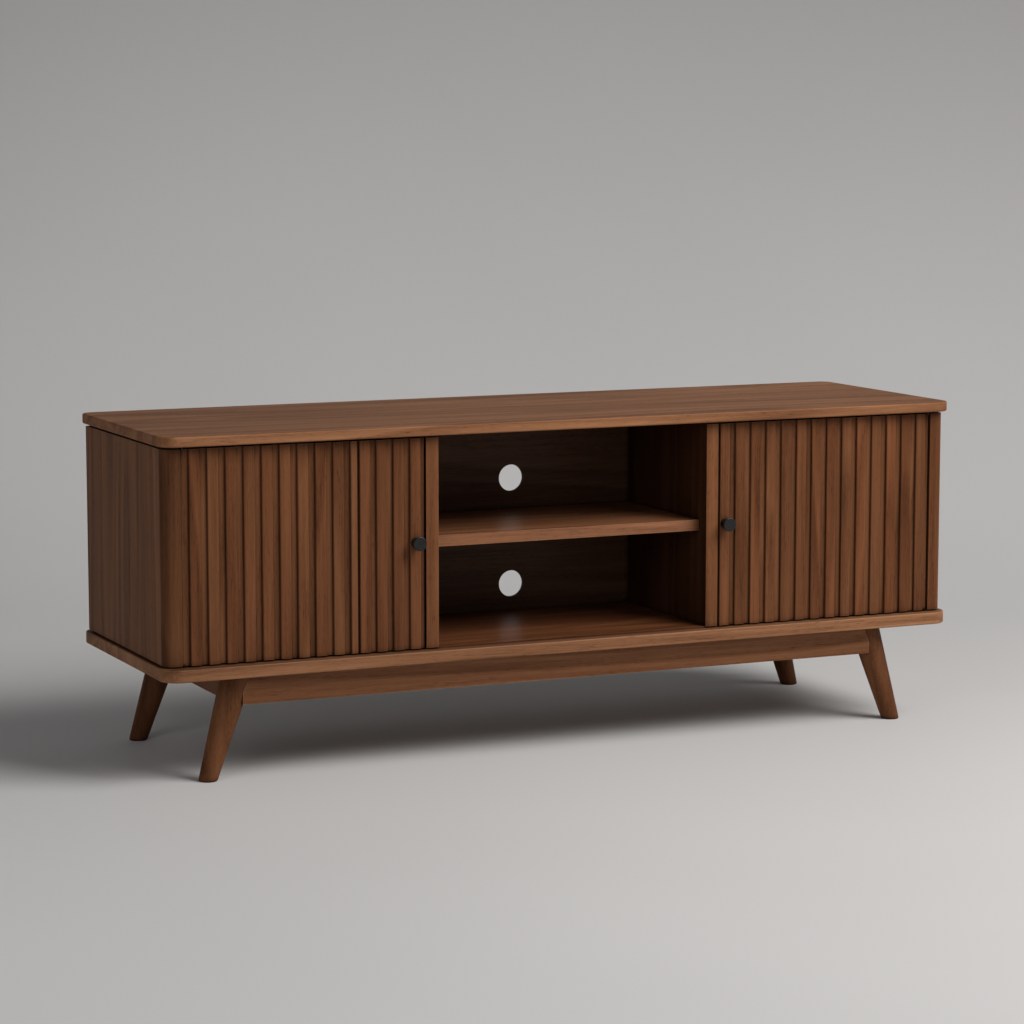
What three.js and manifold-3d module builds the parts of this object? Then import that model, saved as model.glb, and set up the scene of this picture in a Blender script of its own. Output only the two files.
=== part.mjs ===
// Low media stand: a walnut carcass between two rounded boards, an open centre
// bay with one shelf, a fluted door on each side, and a splayed-leg base.
// Units are millimetres. +X runs to the viewer's right, the front faces -Y, +Z is up.
import * as THREE from 'three';
import Module from 'manifold-3d';

const wasm = await Module();
wasm.setup();

// ---------------------------------------------------------------- dimensions
const W = 1400;              // length of the top and bottom boards
const D = 430;               // depth of both boards
const H = 546;               // overall height
const R_FRONT = 30;          // plan radius of the boards' front corners
const R_REAR = 20;           // plan radius of the boards' rear corners
const EDGE_R = 2.6;          // roll on the boards' long edges
const TOP_T = 16.4;
const BOARD_T = 20.5;
const LEG_H = 167;
const Z_FLOOR = LEG_H + BOARD_T;        // upper face of the bottom board
const Z_CEIL = H - TOP_T;               // under face of the top board
const CARCASS_H = Z_CEIL - Z_FLOOR;

const BODY_X = 694;          // half length over the side panels
const SIDE_T = 16;
const FRONT_Y = -198;        // front plane of posts, dividers and door slats
const BODY_REAR_Y = 200;
const POST_W = 28.3;
const POST_D = 20;
const POST_R = 18;
const DIV_IN = 239;          // divider faces, from the middle
const DIV_OUT = 260;
const GAP_LOW = 2.5;         // shadow gap between the carcass and the bottom board
const GAP_HIGH = 4.3;        // and below the top board
const GAP_IN = 5;            // how far the gap runs in

const LINER_T = 3;
const LINER_FRONT_Y = -196;
const SHELF_Z = 347;
const SHELF_T = 18;
const SHELF_FRONT_Y = -171;
const BACK_T = 6;
const CENTRE_BACK_Y = 90;    // the centre back stands forward of the rear, for cables
const SIDE_BACK_Y = 186;
const HOLE_R = 22.5;
const HOLE_X = 17;
const HOLE_Z = [236, 417];

const DOOR_IN = 262;         // door edges, from the middle
const DOOR_OUT = 663.7;
const DOOR_Z0 = Z_FLOOR + GAP_LOW;
const DOOR_Z1 = Z_CEIL - GAP_HIGH;
const SLAT_D = 4.5;
const SLAT_W = 18;
const SLAT_R = 2;
const PANEL_T = 14;
const PANEL_Y = FRONT_Y + SLAT_D;       // front face of the backing panel

const PIVOT_X = 662;
const PIVOT_Y = -195;
const PIN_R = 1.5;
const PIN_BORE_R = 1.6;
const KNUCKLE_R = 1.7;
const LEAF_T = 2;

const KNOB_Z = 360;
const SCREW_R = 2;

const LEG_TOP = { x: 563.6, yf: -157, yr: 182, r: 26 };
const LEG_FOOT = { x: 616.1, yf: -163, yr: 191, r: 15.2 };
const APRON_Z = 119.3;
const APRON_FRONT_Y = -180;
const APRON_REAR_Y = 193;
const APRON_T = 18;
const APRON_SIDE_X = 575;
const APRON_SIDE_T = 17;

// ------------------------------------------------------------------- helpers
const wood = (hex, rough = 0.45) => new THREE.MeshStandardMaterial({ color: hex, roughness: rough, metalness: 0 });
const metal = (hex, rough) => new THREE.MeshStandardMaterial({ color: hex, roughness: rough, metalness: 1 });

function box(x0, x1, y0, y1, z0, z1) {
  const g = new THREE.BoxGeometry(x1 - x0, y1 - y0, z1 - z0);
  g.translate((x0 + x1) / 2, (y0 + y1) / 2, (z0 + z1) / 2);
  return g;
}

// closed outline from points with a radius at each corner, counter-clockwise
function roundedOutline(points, segments = 6) {
  const out = [];
  const n = points.length;
  for (let i = 0; i < n; i++) {
    const [x, y, r] = points[i];
    if (!r) { out.push(new THREE.Vector2(x, y)); continue; }
    const p = points[(i + n - 1) % n], q = points[(i + 1) % n];
    const a = new THREE.Vector2(p[0] - x, p[1] - y).normalize();
    const b = new THREE.Vector2(q[0] - x, q[1] - y).normalize();
    const s = new THREE.Vector2(x + a.x * r, y + a.y * r);      // square corners only
    const c = new THREE.Vector2(x + (a.x + b.x) * r, y + (a.y + b.y) * r);
    const a0 = Math.atan2(s.y - c.y, s.x - c.x);
    for (let k = 0; k <= segments; k++) {
      const t = a0 + (Math.PI / 2) * (k / segments);
      out.push(new THREE.Vector2(c.x + r * Math.cos(t), c.y + r * Math.sin(t)));
    }
  }
  return new THREE.Shape(out);
}

function prism(shape, z0, z1) {
  const g = new THREE.ExtrudeGeometry(shape, { depth: z1 - z0, bevelEnabled: false, curveSegments: 32 });
  g.translate(0, 0, z0);
  return g;
}

// board with rounded plan corners and rolled long edges
function board(z0, thickness) {
  const e = EDGE_R, x = W / 2 - e, y = D / 2 - e;
  const s = roundedOutline([
    [-x, -y, R_FRONT - e], [x, -y, R_FRONT - e], [x, y, R_REAR - e], [-x, y, R_REAR - e],
  ], 10);
  const g = new THREE.ExtrudeGeometry(s, {
    depth: thickness - 2 * e, bevelEnabled: true, bevelSize: e, bevelThickness: e, bevelSegments: 4,
  });
  g.translate(0, 0, z0 + e);
  return g;
}

// tapered round leg whose axis leans, with level ends
function legGeometry(sx, front, grow = 0, over = 0) {
  const yt = front ? LEG_TOP.yf : LEG_TOP.yr, yb = front ? LEG_FOOT.yf : LEG_FOOT.yr;
  const kr = (LEG_TOP.r - LEG_FOOT.r) / LEG_H;
  const top = LEG_H + over;
  const profile = grow
    ? [[0, 0], [LEG_FOOT.r + grow, 0], [LEG_FOOT.r + kr * top + grow, top], [0, top]]
    : [[0, 0], [LEG_FOOT.r - 2.2, 0], [LEG_FOOT.r - 0.6, 0.7], [LEG_FOOT.r + 0.1, 2.6],
       [LEG_FOOT.r + kr * 60, 60], [LEG_TOP.r, LEG_H], [0, LEG_H]];
  const g = new THREE.LatheGeometry(profile.map(([r, z]) => new THREE.Vector2(r, z)), 48);
  g.rotateX(Math.PI / 2);
  const kx = sx * (LEG_TOP.x - LEG_FOOT.x) / LEG_H, ky = (yt - yb) / LEG_H;
  g.applyMatrix4(new THREE.Matrix4().set(1, 0, kx, sx * LEG_FOOT.x, 0, 1, ky, yb, 0, 0, 1, 0, 0, 0, 0, 1));
  return g;
}

function cylinderZ(x, y, z0, z1, r, n = 32) {
  const g = new THREE.CylinderGeometry(r, r, z1 - z0, n);
  g.rotateX(Math.PI / 2);
  g.translate(x, y, (z0 + z1) / 2);
  return g;
}

function cylinderY(x, z, y0, y1, r, n = 32) {
  const g = new THREE.CylinderGeometry(r, r, y1 - y0, n);
  g.translate(x, (y0 + y1) / 2, z);
  return g;
}

function solid(geometry) {
  const g = geometry.index ? geometry.toNonIndexed() : geometry.clone();
  const p = g.attributes.position;
  const key = new Map(), verts = [], tris = [];
  for (let i = 0; i < p.count; i++) {
    const v = [p.getX(i), p.getY(i), p.getZ(i)].map((c) => Math.round(c * 1e5) / 1e5);
    const k = v.join(',');
    if (!key.has(k)) { key.set(k, verts.length / 3); verts.push(...v); }
    tris.push(key.get(k));
  }
  const keep = [];
  for (let i = 0; i < tris.length; i += 3) {
    const [a, b, c] = [tris[i], tris[i + 1], tris[i + 2]];
    if (a !== b && b !== c && a !== c) keep.push(a, b, c);
  }
  return new wasm.Manifold(new wasm.Mesh({
    numProp: 3, vertProperties: new Float32Array(verts), triVerts: new Uint32Array(keep),
  }));
}

function geometryOf(manifold) {
  const m = manifold.getMesh();
  const g = new THREE.BufferGeometry();
  const pos = new Float32Array(m.numVert * 3);
  for (let i = 0; i < m.numVert; i++) {
    for (let k = 0; k < 3; k++) pos[i * 3 + k] = m.vertProperties[i * m.numProp + k];
  }
  g.setAttribute('position', new THREE.BufferAttribute(pos, 3));
  g.setIndex(new THREE.BufferAttribute(new Uint32Array(m.triVerts), 1));
  g.computeVertexNormals();
  return g;
}

function cut(geometry, ...tools) {
  let m = solid(geometry);
  for (const t of tools) m = m.subtract(solid(t));
  return geometryOf(m);
}

function join(...parts) {
  let m = solid(parts[0]);
  for (const t of parts.slice(1)) m = m.add(solid(t));
  return geometryOf(m);
}

// ------------------------------------------------------------------ assembly
const stand = new THREE.Group();
stand.name = 'media_stand';

// the knobs reach a little past the boards, so the whole is centred in depth
const KNOB_REACH = 19.5;
stand.position.y = -((FRONT_Y - KNOB_REACH) + D / 2) / 2;

function add(parent, name, geometry, material) {
  const mesh = new THREE.Mesh(geometry, material);
  mesh.name = name;
  parent.add(mesh);
  return mesh;
}

const carcass = new THREE.Group();
const base = new THREE.Group();
const doorLeft = new THREE.Group();
const doorRight = new THREE.Group();
stand.add(carcass, base, doorLeft, doorRight);

// boards, with a blind bore for each door pin
const bores = (z0, z1) => [-1, 1].map((s) => cylinderZ(s * PIVOT_X, PIVOT_Y, z0, z1, PIN_BORE_R, 32));
add(carcass, 'top_board', cut(board(Z_CEIL, TOP_T), ...bores(Z_CEIL - 5, Z_CEIL + 7.5)), wood(0x70543e, 0.42));
add(carcass, 'bottom_board', cut(board(LEG_H, BOARD_T), ...bores(Z_FLOOR - 7.5, Z_FLOOR + 5)), wood(0x70503a, 0.42));

for (const [side, s] of [['left', -1], ['right', 1]]) {
  const flat = (x0, x1, ...rest) => (s < 0 ? box(-x1, -x0, ...rest) : box(x0, x1, ...rest));
  const zl = Z_FLOOR + GAP_LOW, zh = Z_CEIL - GAP_HIGH;
  add(carcass, `side_panel_${side}`, join(
    flat(BODY_X - SIDE_T, BODY_X, FRONT_Y + POST_D, BODY_REAR_Y, zl, zh),
    flat(BODY_X - SIDE_T, BODY_X - GAP_IN, FRONT_Y + POST_D, BODY_REAR_Y - GAP_IN, Z_FLOOR, Z_CEIL),
  ), wood(0x4c392e));
  // corner post: outer front corner rounded over
  const postOutline = (inset) => {
    const xo = s * (BODY_X - inset), xi = s * (BODY_X - POST_W), yf = FRONT_Y + inset, yr = FRONT_Y + POST_D;
    const r = POST_R - inset;
    return roundedOutline(s < 0
      ? [[xo, yf, r], [xi, yf, 0], [xi, yr, 0], [xo, yr, 0]]
      : [[xi, yf, 0], [xo, yf, r], [xo, yr, 0], [xi, yr, 0]], 12);
  };
  add(carcass, `corner_post_${side}`,
    join(prism(postOutline(0), zl, zh), prism(postOutline(GAP_IN), Z_FLOOR, Z_CEIL)), wood(0x5a3c2a));
  add(carcass, `divider_${side}`, join(
    flat(DIV_IN, DIV_OUT, FRONT_Y, BODY_REAR_Y, zl, zh),
    flat(DIV_IN, DIV_OUT, FRONT_Y + GAP_IN, BODY_REAR_Y, Z_FLOOR, Z_CEIL),
  ), wood(0x5c3e2b));
  add(carcass, `cupboard_back_${side}`,
    flat(DIV_OUT, BODY_X - SIDE_T, SIDE_BACK_Y, SIDE_BACK_Y + BACK_T, Z_FLOOR, Z_CEIL), wood(0x3e2c21, 0.6));
  // catch body under the top board; the closed door's back stops against it
  add(carcass, `magnetic_catch_${side}`,
    (() => {
      const g = prism(roundedOutline([
        [-18, 0, 0], [18, 0, 0], [18, 13.5, 3], [-18, 13.5, 3],
      ], 5), Z_CEIL - 12, Z_CEIL);
      g.translate(s * 290, PANEL_Y + PANEL_T + 0.3, 0);
      return g;
    })(), new THREE.MeshStandardMaterial({ color: 0x2b2a28, roughness: 0.5, metalness: 0 }));
}

add(carcass, 'bay_floor_liner', box(-DIV_IN, DIV_IN, LINER_FRONT_Y, CENTRE_BACK_Y, Z_FLOOR, Z_FLOOR + LINER_T), wood(0x6a4a33));
add(carcass, 'centre_shelf', box(-DIV_IN, DIV_IN, SHELF_FRONT_Y, CENTRE_BACK_Y, SHELF_Z, SHELF_Z + SHELF_T), wood(0x6e4a33));

// centre back with two round cable outlets, drawn flat and stood upright
{
  const s = new THREE.Shape([
    new THREE.Vector2(-DIV_IN, Z_FLOOR), new THREE.Vector2(DIV_IN, Z_FLOOR),
    new THREE.Vector2(DIV_IN, Z_CEIL), new THREE.Vector2(-DIV_IN, Z_CEIL),
  ]);
  for (const z of HOLE_Z) {
    const h = new THREE.Path();
    h.absarc(HOLE_X, z, HOLE_R, 0, Math.PI * 2, true);
    s.holes.push(h);
  }
  const g = new THREE.ExtrudeGeometry(s, { depth: BACK_T, bevelEnabled: false, curveSegments: 24 });
  g.rotateX(Math.PI / 2);
  g.translate(0, CENTRE_BACK_Y + BACK_T, 0);
  add(carcass, 'centre_back_panel', g, wood(0x3a281d, 0.6));
}

// legs
const LEGS = [['front_left', -1, true], ['front_right', 1, true], ['rear_left', -1, false], ['rear_right', 1, false]];
for (const [name, sx, front] of LEGS) add(base, `leg_${name}`, legGeometry(sx, front), wood(0x64422c));

// rails between the legs; each end is scribed to the leg it meets
const legCuts = (picks) => picks.map(([sx, front]) => legGeometry(sx, front, 0.3, 6));
const railX = LEG_TOP.x - 0.8;
add(base, 'apron_front', cut(box(-railX, railX, APRON_FRONT_Y, APRON_FRONT_Y + APRON_T, APRON_Z, LEG_H),
  ...legCuts([[-1, true], [1, true]])), wood(0x5e402c));
add(base, 'apron_rear', cut(box(-railX, railX, APRON_REAR_Y - APRON_T, APRON_REAR_Y, APRON_Z, LEG_H),
  ...legCuts([[-1, false], [1, false]])), wood(0x54392a));
for (const [side, s] of [['left', -1], ['right', 1]]) {
  const x0 = s < 0 ? -APRON_SIDE_X : APRON_SIDE_X - APRON_SIDE_T;
  add(base, `apron_${side}`, cut(box(x0, x0 + APRON_SIDE_T, LEG_TOP.yf, LEG_TOP.yr, APRON_Z, LEG_H),
    ...legCuts([[s, true], [s, false]])), wood(0x4a372c));
}

// doors: backing panel, slats, hinge leaves and knob
function slatGeometry(x0, width, screwX) {
  const s = roundedOutline([
    [x0, FRONT_Y, SLAT_R], [x0 + width, FRONT_Y, SLAT_R], [x0 + width, PANEL_Y, 0], [x0, PANEL_Y, 0],
  ], 4);
  const g = prism(s, DOOR_Z0, DOOR_Z1);
  return screwX === undefined ? g : cut(g, cylinderY(screwX, KNOB_Z, FRONT_Y - 2, PANEL_Y + 2, SCREW_R + 0.3, 24));
}

// leaf let into the door's edge, with an arm to the pin at the door's front corner
function leafGeometry(s, top, clearance = 0) {
  const c = clearance;
  const z0 = top ? DOOR_Z1 - LEAF_T : DOOR_Z0, z1 = z0 + LEAF_T;
  const yb = PANEL_Y + PANEL_T - 2;
  const X = (a, b) => (s < 0 ? [-b, -a] : [a, b]);
  const arm = X(DOOR_OUT - 3.6 - c, DOOR_OUT - 0.2 + c), plate = X(DOOR_OUT - 42 - c, DOOR_OUT - 0.2 + c);
  const zc0 = top ? z0 - c : z0 - 5 * (c ? 1 : 0), zc1 = top ? z1 + 5 * (c ? 1 : 0) : z1 + c;
  const pieces = [
    box(arm[0], arm[1], c ? PANEL_Y - 3 : PIVOT_Y, yb + c, zc0, zc1),
    box(plate[0], plate[1], PANEL_Y + 2 - c, yb + c, zc0, zc1),
  ];
  if (!c) {
    pieces.push(cylinderZ(s * PIVOT_X, PIVOT_Y, z0, z1, KNUCKLE_R, 32));
    if (top) pieces.push(cylinderZ(s * PIVOT_X, PIVOT_Y, z0 + 0.5, Z_CEIL + 6.5, PIN_R, 32));
    else {
      pieces.push(cylinderZ(s * PIVOT_X, PIVOT_Y, Z_FLOOR - 6.5, z1 - 0.5, PIN_R, 32));
      pieces.push(cylinderZ(s * PIVOT_X, PIVOT_Y, Z_FLOOR + 0.05, z0 + 0.5, KNUCKLE_R, 32));
    }
  }
  return pieces;
}

function buildDoor(group, side, s, slats, knobX) {
  const x0 = s < 0 ? -DOOR_OUT : DOOR_IN, x1 = s < 0 ? -DOOR_IN : DOOR_OUT;
  add(group, `door_panel_${side}`, cut(
    box(x0, x1, PANEL_Y, PANEL_Y + PANEL_T, DOOR_Z0, DOOR_Z1),
    ...leafGeometry(s, true, 0.05), ...leafGeometry(s, false, 0.05),
    cylinderY(knobX, KNOB_Z, PANEL_Y - 2, PANEL_Y + PANEL_T + 2, SCREW_R + 0.3, 24),
  ), wood(0x553723));
  slats.forEach(([x, w], i) => {
    const holds = knobX > x && knobX < x + w;
    add(group, `door_${side}_slat_${String(i + 1).padStart(2, '0')}`,
      slatGeometry(x, w, holds ? knobX : undefined), wood(i % 3 === 1 ? 0x634028 : 0x5e3c28));
  });
  for (const [where, top] of [['top', true], ['bottom', false]]) {
    add(group, `pivot_hinge_${side}_${where}`, join(...leafGeometry(s, top)), metal(0x6f6a62, 0.4));
  }
  // knob: turned, flaring from its foot to a flat face, with its through-screw and pan head
  const back = -(SLAT_D + PANEL_T);
  const profile = [[0, back - 2.5], [1.8, back - 2.4], [3.3, back - 1.9], [4.1, back - 0.9], [4.2, back],
    [SCREW_R, back], [SCREW_R, 0], [8.0, 0], [7.7, 1.5], [7.9, 6], [8.8, 10.5],
    [10.2, 14.5], [11.1, 16.6], [11.4, 17.6], [11.35, 18.5], [10.9, 19.2], [10.1, KNOB_REACH], [0, KNOB_REACH]];
  const knob = new THREE.LatheGeometry(profile.map(([r, t]) => new THREE.Vector2(r, t)), 48);
  knob.rotateX(Math.PI);
  knob.translate(knobX, FRONT_Y, KNOB_Z);
  // LatheGeometry turns about Y; after the half turn its +Y end faces -Y
  add(group, `knob_${side}`, knob, new THREE.MeshStandardMaterial({ color: 0x1d1b19, roughness: 0.42, metalness: 0.7 }));
}

const leftSlats = [];
for (let k = 0; k < 9; k++) leftSlats.push([-652.3 + 29.46 * k, SLAT_W]);
leftSlats.push([-387.2, 11]);
for (let k = 0; k < 4; k++) leftSlats.push([-372.5 + 28.45 * k, SLAT_W]);
const rightSlats = [];
for (let k = 0; k < 14; k++) rightSlats.push([264.3 + 28.77 * k, SLAT_W]);

buildDoor(doorLeft, 'left', -1, leftSlats, leftSlats[13][0] + SLAT_W / 2);
buildDoor(doorRight, 'right', 1, rightSlats, rightSlats[0][0] + SLAT_W / 2);

export default stand;
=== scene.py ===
import math
import random

import bpy
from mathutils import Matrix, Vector

# Low walnut media stand: fluted doors, open bay, splayed legs.
# Metres, +X to the viewer's right, the front faces -Y, the floor is z = 0.

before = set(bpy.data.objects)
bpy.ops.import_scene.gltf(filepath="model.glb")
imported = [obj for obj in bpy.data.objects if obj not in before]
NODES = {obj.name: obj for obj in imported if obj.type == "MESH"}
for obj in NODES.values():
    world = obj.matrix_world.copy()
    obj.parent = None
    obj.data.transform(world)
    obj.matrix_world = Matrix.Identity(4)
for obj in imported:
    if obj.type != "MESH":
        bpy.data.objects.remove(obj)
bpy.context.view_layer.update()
scene = bpy.context.scene

# ------------------------------------------------------------------- camera
cam_data = bpy.data.cameras.new("camera")
cam = bpy.data.objects.new("camera", cam_data)
scene.collection.objects.link(cam)
cam_data.sensor_width = 36.0
cam_data.lens = 112.62
cam_data.clip_start = 0.05
cam_data.clip_end = 60.0
cam.location = (-2.20437, -4.81736, 1.06237)
cam.rotation_euler = (math.radians(82.556), 0.0, math.radians(-24.367))
scene.camera = cam
scene.view_settings.view_transform = "Standard"
scene.view_settings.look = "None"


# ------------------------------------------------------------ node helpers
def srgb(r, g, b):
    """8-bit sRGB to a linear RGBA tuple."""
    def f(c):
        c /= 255.0
        return c / 12.92 if c <= 0.04045 else ((c + 0.055) / 1.055) ** 2.4
    return (f(r), f(g), f(b), 1.0)


class Tree:
    """A short way to write a material's nodes."""

    def __init__(self, name):
        self.mat = bpy.data.materials.new(name)
        self.mat.use_nodes = True
        self.t = self.mat.node_tree
        for n in list(self.t.nodes):
            self.t.nodes.remove(n)
        self.out = self.t.nodes.new("ShaderNodeOutputMaterial")
        self.bsdf = self.t.nodes.new("ShaderNodeBsdfPrincipled")
        self.t.links.new(self.bsdf.outputs["BSDF"], self.out.inputs["Surface"])

    def link(self, a, b):
        self.t.links.new(a, b)

    def put(self, socket, value):
        if isinstance(value, bpy.types.NodeSocket):
            self.t.links.new(value, socket)
        else:
            socket.default_value = value

    def set(self, **values):
        for key, value in values.items():
            self.put(self.bsdf.inputs[key.replace("_", " ")], value)

    def coords(self):
        return self.t.nodes.new("ShaderNodeTexCoord").outputs["Object"]

    def mapping(self, vector, scale=(1, 1, 1), location=(0, 0, 0), rotation=(0, 0, 0)):
        n = self.t.nodes.new("ShaderNodeMapping")
        self.put(n.inputs["Vector"], vector)
        n.inputs["Scale"].default_value = scale
        n.inputs["Location"].default_value = location
        n.inputs["Rotation"].default_value = rotation
        return n.outputs["Vector"]

    def noise(self, vector, scale=1.0, detail=2.0, rough=0.5, distortion=0.0, colour=False):
        n = self.t.nodes.new("ShaderNodeTexNoise")
        self.put(n.inputs["Vector"], vector)
        n.inputs["Scale"].default_value = scale
        n.inputs["Detail"].default_value = detail
        n.inputs["Roughness"].default_value = rough
        n.inputs["Distortion"].default_value = distortion
        return n.outputs["Color" if colour else "Fac"]

    def math(self, op, a, b=0.0, c=None, clamp=False):
        n = self.t.nodes.new("ShaderNodeMath")
        n.operation = op
        n.use_clamp = clamp
        self.put(n.inputs[0], a)
        self.put(n.inputs[1], b)
        if c is not None:
            self.put(n.inputs[2], c)
        return n.outputs[0]

    def vmath(self, op, a, b=None, scale=None):
        n = self.t.nodes.new("ShaderNodeVectorMath")
        n.operation = op
        self.put(n.inputs[0], a)
        if b is not None:
            self.put(n.inputs[1], b)
        if scale is not None:
            self.put(n.inputs["Scale"], scale)
        return n.outputs["Value" if op in ("DOT_PRODUCT", "LENGTH") else "Vector"]

    def remap(self, value, a, b, c=0.0, d=1.0, smooth=False):
        n = self.t.nodes.new("ShaderNodeMapRange")
        n.interpolation_type = "SMOOTHSTEP" if smooth else "LINEAR"
        n.clamp = True
        self.put(n.inputs["Value"], value)
        for key, v in (("From Min", a), ("From Max", b), ("To Min", c), ("To Max", d)):
            n.inputs[key].default_value = v
        return n.outputs["Result"]

    def ramp(self, value, stops):
        n = self.t.nodes.new("ShaderNodeValToRGB")
        self.put(n.inputs["Fac"], value)
        els = n.color_ramp.elements
        while len(els) < len(stops):
            els.new(0.5)
        for e, (pos, colour) in zip(els, stops):
            e.position = pos
            e.color = colour
        return n.outputs["Color"]

    def mix(self, fac, a, b, mode="MIX"):
        n = self.t.nodes.new("ShaderNodeMix")
        n.data_type = "RGBA"
        n.blend_type = mode
        n.clamp_factor = True
        self.put(n.inputs[0], fac)
        self.put(n.inputs[6], a)
        self.put(n.inputs[7], b)
        return n.outputs[2]

    def bump(self, height, distance, strength=1.0):
        n = self.t.nodes.new("ShaderNodeBump")
        n.inputs["Strength"].default_value = strength
        n.inputs["Distance"].default_value = distance
        self.put(n.inputs["Height"], height)
        return n.outputs["Normal"]


AXES = {"X": 0, "Y": 1, "Z": 2}


def walnut(name, axis, gain=1.0, seed=0, figure=1.0, rough=0.40, warm=1.0, edge_wear_and_highlight=1.0, spec=0.03, coat=0.10, faces=None, shade_in=0.85):
    """Oiled walnut with its grain along one axis, at real scale."""
    rng = random.Random(1000 + seed)
    k = Tree(name)
    i = AXES[axis]

    def along(a, b):
        s = [b, b, b]
        s[i] = a
        return tuple(s)

    where = k.mapping(k.coords(), location=tuple(rng.uniform(-9, 9) for _ in range(3)))
    # a slow sway, so that no grain line is straight
    sway = k.noise(k.mapping(where, scale=along(1.6, 4.0)), detail=1.0, colour=True)
    sway = k.vmath("SUBTRACT", sway, (0.5, 0.5, 0.5))
    wood = k.vmath("ADD", where, k.vmath("SCALE", sway, scale=0.016))
    # growth rings, cut as long arches
    rings = k.noise(k.mapping(wood, scale=along(0.55, 7.0)), detail=1.0, rough=0.4)
    rings = k.math("FRACT", k.math("MULTIPLY", rings, 11.0))
    rings = k.math("MULTIPLY", k.remap(rings, 0.0, 0.75, 0.0, 1.0), k.remap(rings, 0.75, 1.0, 1.0, 0.0))
    # coloured bands, streaks, fibres and pores
    band = k.noise(k.mapping(wood, scale=along(0.9, 22.0)), detail=3.0, rough=0.55)
    streak = k.noise(k.mapping(wood, scale=along(3.0, 150.0)), detail=4.0, rough=0.62)
    fibre = k.noise(k.mapping(wood, scale=along(14.0, 800.0)), detail=2.0, rough=0.6)
    pore = k.noise(k.mapping(wood, scale=along(55.0, 1500.0)), detail=1.0, rough=0.5)
    pore = k.remap(pore, 0.60, 0.70, 0.0, 1.0, smooth=True)
    pore = k.math("MULTIPLY", pore, k.remap(rings, 0.1, 0.8, 1.0, 0.35))
    tone = k.math("MULTIPLY", rings, 0.17 * figure)
    tone = k.math("ADD", tone, k.math("MULTIPLY", band, 0.42))
    tone = k.math("ADD", tone, k.math("MULTIPLY", streak, 0.38))
    tone = k.math("ADD", tone, k.math("MULTIPLY", k.math("SUBTRACT", fibre, 0.18), 0.30))

    hue = rng.uniform(-0.05, 0.05)

    def shade(r, g, b):
        return (r * gain, g * gain * (2 - warm) * (1 + hue), b * gain * (2 - warm) ** 2 * (1 + 1.4 * hue), 1.0)

    colour = k.ramp(tone, [
        (0.30, shade(0.062, 0.0205, 0.0085)),
        (0.45, shade(0.128, 0.0460, 0.0185)),
        (0.58, shade(0.178, 0.0665, 0.0270)),
        (0.75, shade(0.245, 0.0960, 0.0410)),
    ])
    colour = k.mix(k.math("MULTIPLY", pore, 0.70), colour, shade(0.034, 0.0110, 0.0045))
    geo = k.t.nodes.new("ShaderNodeNewGeometry")
    if faces:
        # faces square to one axis are toned down to fit the light in the photograph; not a different veneer
        split = k.t.nodes.new("ShaderNodeSeparateXYZ")
        k.put(split.inputs[0], geo.outputs["Normal"])
        there = k.remap(k.math("ABSOLUTE", split.outputs[faces[0]]), 0.6, 0.8)
        colour = k.mix(there, colour, (faces[1],) * 3 + (1,), "MULTIPLY")
    # corners and grooves are darkened in the colour: contact shade, fitted to the photograph
    corner = k.t.nodes.new("ShaderNodeAmbientOcclusion")
    corner.samples = 6
    corner.inputs["Distance"].default_value = 0.010
    colour = k.mix(k.remap(corner.outputs["AO"], 0.30, 0.92, shade_in, 0.0), colour, (0.10, 0.09, 0.085, 1), "MULTIPLY")
    # handled edges: a little paler and rougher; the paling is partly wear and partly a painted highlight along the
    # edges
    bevel = k.t.nodes.new("ShaderNodeBevel")
    bevel.samples = 4
    bevel.inputs["Radius"].default_value = 0.0016
    edge = k.vmath("DOT_PRODUCT", bevel.outputs["Normal"], geo.outputs["Normal"])
    edge = k.remap(edge, 0.985, 0.80, 0.0, 1.0)
    edge = k.math("MULTIPLY", edge, k.remap(k.noise(where, scale=38.0, detail=3.0), 0.35, 0.65, 0.25, 1.0))
    colour = k.mix(k.math("MULTIPLY", edge, 0.42 * edge_wear_and_highlight), colour, shade(0.42, 0.21, 0.115))
    # satin oil: patchy at the scale of a hand, and dull in the pores
    cloud = k.noise(where, scale=9.0, detail=3.0)
    gloss = k.math("ADD", rough - 0.06, k.math("MULTIPLY", cloud, 0.08))
    gloss = k.math("ADD", gloss, k.math("MULTIPLY", fibre, 0.07))
    gloss = k.math("ADD", gloss, k.math("MULTIPLY", pore, 0.12))
    gloss = k.math("ADD", gloss, k.math("MULTIPLY", edge, 0.05), clamp=True)
    height = k.math("SUBTRACT", k.math("MULTIPLY", fibre, 0.35), k.math("MULTIPLY", pore, 0.9))
    height = k.math("ADD", height, k.math("MULTIPLY", streak, 0.25))
    k.set(Base_Color=colour, Roughness=gloss, IOR=1.45, Normal=k.bump(height, 0.00012, 0.7))
    k.set(Specular_IOR_Level=spec, Coat_Weight=coat, Coat_Roughness=0.28, Coat_IOR=1.5)
    return k.mat


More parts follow.
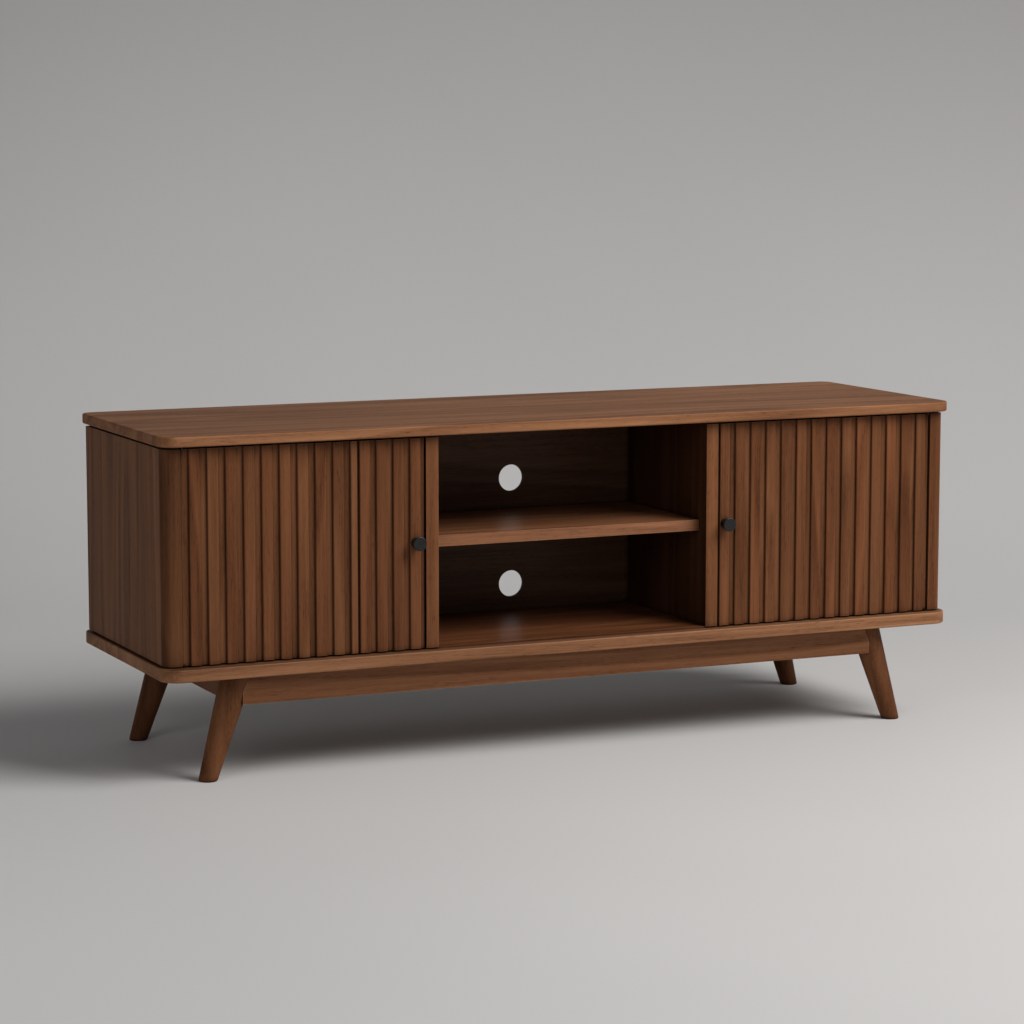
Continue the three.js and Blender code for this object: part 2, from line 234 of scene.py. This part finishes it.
def knob_black():
    k = Tree("knob_black")
    where = k.coords()
    grain = k.noise(where, scale=1400.0, detail=3.0)
    cloud = k.noise(where, scale=120.0, detail=3.0)
    rub = k.remap(k.noise(where, scale=420.0, detail=4.0, rough=0.7), 0.58, 0.72)
    bevel = k.t.nodes.new("ShaderNodeBevel")
    bevel.samples = 4
    bevel.inputs["Radius"].default_value = 0.0012
    geo = k.t.nodes.new("ShaderNodeNewGeometry")
    edge = k.vmath("DOT_PRODUCT", bevel.outputs["Normal"], geo.outputs["Normal"])
    edge = k.math("MULTIPLY", k.remap(edge, 0.985, 0.80), rub)
    colour = k.ramp(cloud, [(0.3, (0.0052, 0.0050, 0.0049, 1)), (0.7, (0.011, 0.0104, 0.0100, 1))])
    colour = k.mix(k.math("MULTIPLY", edge, 0.5), colour, (0.09, 0.085, 0.08, 1))
    k.set(Base_Color=colour, Roughness=k.remap(cloud, 0.2, 0.8, 0.30, 0.42), IOR=1.5,
          Normal=k.bump(grain, 0.00005, 0.5))
    k.set(Metallic=0.0, Specular_IOR_Level=0.3, Coat_Weight=0.05, Coat_Roughness=0.25)
    return k.mat


def hinge_steel():
    k = Tree("hinge_steel")
    where = k.coords()
    brush = k.noise(k.mapping(where, scale=(900, 900, 60)), detail=3.0)
    cloud = k.noise(where, scale=160.0, detail=3.0)
    colour = k.ramp(cloud, [(0.3, (0.030, 0.027, 0.024, 1)), (0.7, (0.052, 0.047, 0.042, 1))])
    colour = k.mix(k.remap(brush, 0.3, 0.7, 0.0, 0.25), colour, (0.10, 0.092, 0.085, 1))
    k.set(Base_Color=colour, Roughness=k.remap(brush, 0.2, 0.8, 0.28, 0.46),
          Normal=k.bump(brush, 0.00004, 0.5))
    k.set(Metallic=1.0)
    return k.mat


def catch_plastic():
    k = Tree("catch_plastic")
    where = k.coords()
    grain = k.noise(where, scale=1600.0, detail=2.0)
    cloud = k.noise(where, scale=90.0, detail=3.0)
    colour = k.ramp(cloud, [(0.3, (0.050, 0.031, 0.021, 1)), (0.7, (0.070, 0.044, 0.030, 1))])
    k.set(Base_Color=colour, Roughness=k.remap(grain, 0.2, 0.8, 0.42, 0.58), IOR=1.5,
          Normal=k.bump(grain, 0.00006, 0.6))
    return k.mat


# -------------------------------------------------- materials on the pieces
def dress(name, mat):
    ob = NODES[name]
    ob.data.materials.clear()
    ob.data.materials.append(mat)


def soften(name, width=0.0008, segments=2, angle=35.0, clean=True):
    """Rounds a CAD node's sharp edges with modifiers only."""
    ob = NODES[name]
    me = ob.data
    for p in me.polygons:
        p.use_smooth = True
    me.set_sharp_from_angle(angle=math.radians(32))
    if width:
        if clean:
            d = ob.modifiers.new("flat", "DECIMATE")
            d.decimate_type = "DISSOLVE"
            d.angle_limit = math.radians(0.2)
        b = ob.modifiers.new("edges", "BEVEL")
        b.width = width
        b.segments = segments
        b.limit_method = "ANGLE"
        b.angle_limit = math.radians(angle)
        b.harden_normals = False
        b.miter_outer = "MITER_ARC"
    w = ob.modifiers.new("shading", "WEIGHTED_NORMAL")
    w.mode = "FACE_AREA_WITH_ANGLE"
    w.keep_sharp = not width
    w.weight = 50


LEFT_TONE = [0.94, 0.98, 0.91, 1.00, 1.01, 1.02, 1.12, 0.99, 0.98, 1.14, 1.02, 0.97, 0.97, 1.01]
RIGHT_TONE = [1.04, 0.99, 1.14, 1.03, 0.99, 1.00, 1.00, 1.09, 1.07, 1.11, 0.98, 1.15, 0.92, 0.95]

for n, name in enumerate(sorted(NODES)):
    seed = 17 * n + 3
    if name == "top_board":
        dress(name, walnut("top_walnut", "X", 1.36, seed, rough=0.52, coat=0.06, warm=0.87, faces=("Z", 0.74)))
        soften(name, 0)
    elif name == "bottom_board":
        dress(name, walnut("board_walnut", "X", 1.40, seed, rough=0.52, warm=0.84, faces=("Z", 0.6)))
        soften(name, 0)
    elif name == "bay_floor_liner":
        dress(name, walnut("liner_walnut", "X", 0.60, seed, rough=0.50, coat=0.30))
        soften(name, 0.0006)
    elif name.startswith("side_panel"):
        dress(name, walnut(name + "_walnut", "Z", 0.92, seed, rough=0.52, warm=0.95))
        soften(name, 0.0008)
    elif name.startswith("corner_post"):
        # the left post is given a darker tone than the right: painted shade of the side turned from the light
        dress(name, walnut(name + "_walnut", "Z", 0.55 if name.endswith("left") else 0.75, seed, rough=0.52))
        soften(name, 0.0006)
    elif name.startswith("divider"):
        dress(name, walnut(name + "_walnut", "Z", 0.92, seed, rough=0.52, faces=("X", 0.26)))
        soften(name, 0.0008)
    elif name.startswith("cupboard_back") or name == "centre_back_panel":
        # the back panels are given a darker tone: painted shade of the dim interior
        dress(name, walnut(name + "_veneer", "X", 0.56, seed, rough=0.50, edge_wear_and_highlight=0.4, warm=0.62))
        soften(name, 0.0004)
    elif name == "centre_shelf":
        dress(name, walnut("shelf_walnut", "X", 1.36, seed, rough=0.50, coat=0.34, warm=0.86, faces=("Z", 0.72)))
        soften(name, 0.0009)
    elif name.startswith("leg_"):
        # the rear legs are given a darker tone than the front legs: painted shade under the stand
        dress(name, walnut(name + "_walnut", "Z", 0.56 if "rear" in name else 0.72, seed, rough=0.52))
        soften(name, 0)
    elif name.startswith("apron"):
        axis = "X" if name in ("apron_front", "apron_rear") else "Y"
        # the aprons are given a paler tone than the other pieces: painted light under the board's overhang
        dress(name, walnut(name + "_walnut", axis, 1.14, seed, rough=0.52, warm=0.88))
        soften(name, 0.0008)
    elif name.startswith("door_panel"):
        dress(name, walnut(name + "_walnut", "Z", 0.80, seed, rough=0.52, edge_wear_and_highlight=0.4))
        soften(name, 0.0004)
    elif "_slat_" in name:
        k = int(name[-2:]) - 1
        tone = (LEFT_TONE if "_left_" in name else RIGHT_TONE)[k]
        # the slats get strong edge paling: wear and a painted highlight along their edges
        dress(name, walnut(name + "_walnut", "Z", 0.72 * tone, seed, rough=0.52, edge_wear_and_highlight=1.7))
        soften(name, 0)
    elif name.startswith("knob"):
        dress(name, knob_black())
        soften(name, 0)
    elif name.startswith("pivot_hinge"):
        dress(name, hinge_steel())
        soften(name, 0)
    elif name.startswith("magnetic_catch"):
        dress(name, catch_plastic())
        soften(name, 0.0008)


# ------------------------------------------------------------ floor, studio
def studio_paper():
    k = Tree("studio_paper")
    where = k.coords()
    fine = k.noise(where, scale=260.0, detail=3.0)
    cloud = k.noise(where, scale=0.8, detail=2.0)
    colour = k.ramp(cloud, [(0.3, (0.545, 0.537, 0.532, 1)), (0.7, (0.575, 0.566, 0.561, 1))])
    split = k.t.nodes.new("ShaderNodeSeparateXYZ")
    k.put(split.inputs[0], where)
    # the paper is painted darker towards the top: painted shade of the light falling off up the backdrop
    colour = k.mix(k.remap(split.outputs["Z"], 0.15, 1.6, 0.0, 1.0), colour, (0.33, 0.321, 0.317, 1))
    k.set(Base_Color=colour, Roughness=k.remap(fine, 0.2, 0.8, 0.72, 0.86),
          Normal=k.bump(fine, 0.0001, 0.3))
    # from behind or below the paper is clear, so that it never hides the stand
    out = next(n for n in k.t.nodes if n.type == "OUTPUT_MATERIAL")
    paper = out.inputs["Surface"].links[0].from_socket
    clear = k.t.nodes.new("ShaderNodeBsdfTransparent")
    both = k.t.nodes.new("ShaderNodeMixShader")
    geo = k.t.nodes.new("ShaderNodeNewGeometry")
    k.t.links.new(geo.outputs["Backfacing"], both.inputs[0])
    k.t.links.new(paper, both.inputs[1])
    k.t.links.new(clear.outputs[0], both.inputs[2])
    k.t.links.new(both.outputs[0], out.inputs["Surface"])
    return k.mat


def sweep():
    """Floor that curves up into a backdrop, as one strip turned to face the camera."""
    prof = [(-9.0, 0.0)]
    r, wall = 2.2, 3.4
    for s in range(25):
        a = math.pi / 2 * s / 24
        prof.append((wall - r + r * math.sin(a), r - r * math.cos(a)))
    prof.append((wall, 8.0))
    verts, faces = [], []
    for d, z in prof:
        for side in (-12.0, 12.0):
            verts.append((side, d, z))
    for j in range(len(prof) - 1):
        faces.append((2 * j, 2 * j + 1, 2 * j + 3, 2 * j + 2))
    me = bpy.data.meshes.new("studio_sweep")
    me.from_pydata(verts, [], faces)
    for p in me.polygons:
        p.use_smooth = True
    ob = bpy.data.objects.new("studio_sweep", me)
    ob.rotation_euler = (0, 0, math.radians(-24.367))
    scene.collection.objects.link(ob)
    me.materials.append(studio_paper())
    return ob


sweep()


def area(name, location, target, size, power, colour=(1, 1, 1), size_y=None, spread=180):
    d = bpy.data.lights.new(name, "AREA")
    d.shape = "RECTANGLE" if size_y else "SQUARE"
    d.size = size
    if size_y:
        d.size_y = size_y
    d.energy = power
    d.color = colour
    d.spread = math.radians(spread)
    ob = bpy.data.objects.new(name, d)
    ob.location = location
    ob.rotation_euler = (Vector(target) - Vector(location)).to_track_quat("-Z", "Y").to_euler()
    scene.collection.objects.link(ob)
    return ob


area("key", (2.01, -2.57, 3.34), (0.0, 0.0, 0.25), 2.7, 222, (1.0, 0.985, 0.965), 2.7)
area("fill", (-3.6, -3.0, 1.9), (0.0, 0.0, 0.3), 2.4, 33, (1.0, 1.0, 1.0), 2.4)
area("backdrop_light", (-0.3, 1.7, 2.3), (0.2, 4.6, 0.5), 2.6, 10, (1.0, 0.99, 0.98), 1.2)

world = bpy.data.worlds.new("studio")
scene.world = world
world.use_nodes = True
bg = world.node_tree.nodes["Background"]
bg.inputs["Color"].default_value = (0.92, 0.93, 0.95, 1)
bg.inputs["Strength"].default_value = 0.145
